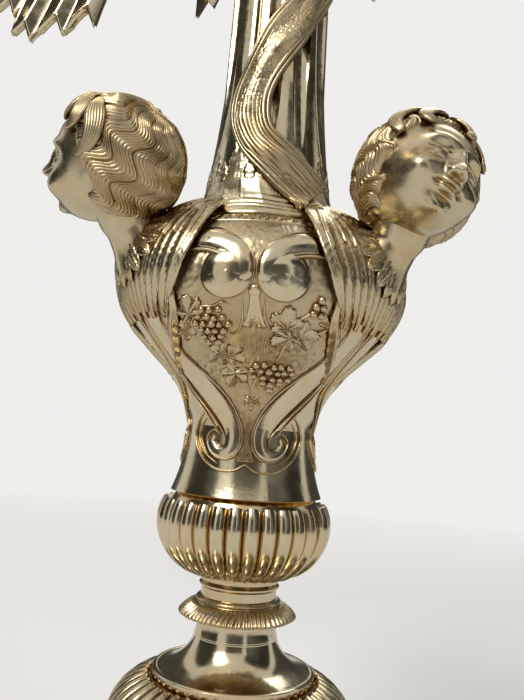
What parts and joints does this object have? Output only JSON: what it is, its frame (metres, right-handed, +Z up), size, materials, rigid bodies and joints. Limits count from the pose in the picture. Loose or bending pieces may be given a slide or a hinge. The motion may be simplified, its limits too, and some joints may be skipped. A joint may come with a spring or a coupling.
{
  "type": "monstrance",
  "caption": "Altar monstrance: sunburst with a glazed luna and rear door on a fluted, knopped stem with cherub heads, vine relief and a round foot.",
  "frame": {"origin": "centre of the foot's resting face", "axes": "+Z up the stem, -Y the front of the sunburst, +X to the right seen from the front"},
  "size_m": [0.5156, 0.224, 0.828],
  "materials": {
    "polished_gilt": "polished pale silver-gilt",
    "satin_gilt": "satin, chased and engraved",
    "steel": "plain steel fixings",
    "glass": "clear flat glass"
  },
  "bodies": {
    "stand": {"cherub_head_back": "satin_gilt", "cherub_head_left": "satin_gilt", "cherub_head_right": "satin_gilt", "cherub_screws": "steel", "cloud_foot": "satin_gilt", "cloud_wreath": "satin_gilt", "column_capital": "polished_gilt", "column_disc": "polished_gilt", "column_veil": "satin_gilt", "cross_finial": "polished_gilt", "flank_rays": "polished_gilt", "fluted_column": "polished_gilt", "foot_dome": "polished_gilt", "foot_nut": "steel", "foot_rim": "polished_gilt", "foot_washer": "steel", "front_glass": "glass", "gadroon_cup": "polished_gilt", "glass_retainer": "polished_gilt", "glory_ring": "polished_gilt", "hinge_bracket": "polished_gilt", "hinge_pin": "steel", "latch_post": "polished_gilt", "latch_screw": "steel", "leaf_collar": "polished_gilt", "long_rays": "polished_gilt", "luna_bezel": "polished_gilt", "luna_case": "polished_gilt", "lunette": "polished_gilt", "lunette_rail": "polished_gilt", "ray_screws": "steel", "short_rays": "polished_gilt", "stem_neck": "polished_gilt", "stem_spool": "polished_gilt", "tie_rod": "steel", "upper_knop": "polished_gilt", "vase_body": "polished_gilt", "wing_pair_back": "satin_gilt", "wing_pair_left": "satin_gilt", "wing_pair_right": "satin_gilt", "yoke_screws": "steel"},
    "door": {"door_frame": "polished_gilt", "rear_glass": "glass"},
    "latch": {"latch_button": "polished_gilt"}
  },
  "joints": [
    {"name": "door_hinge", "type": "hinge", "parent": "stand", "child": "door", "pos_m": [0.056, 0.0099, 0.54], "axis": [0, 0, -1], "range_deg": [0, 110]},
    {"name": "latch_turn", "type": "hinge", "parent": "stand", "child": "latch", "pos_m": [-0.0575, 0.0129, 0.54], "axis": [0, 1, 0], "range_deg": [0, 90]}
  ]
}
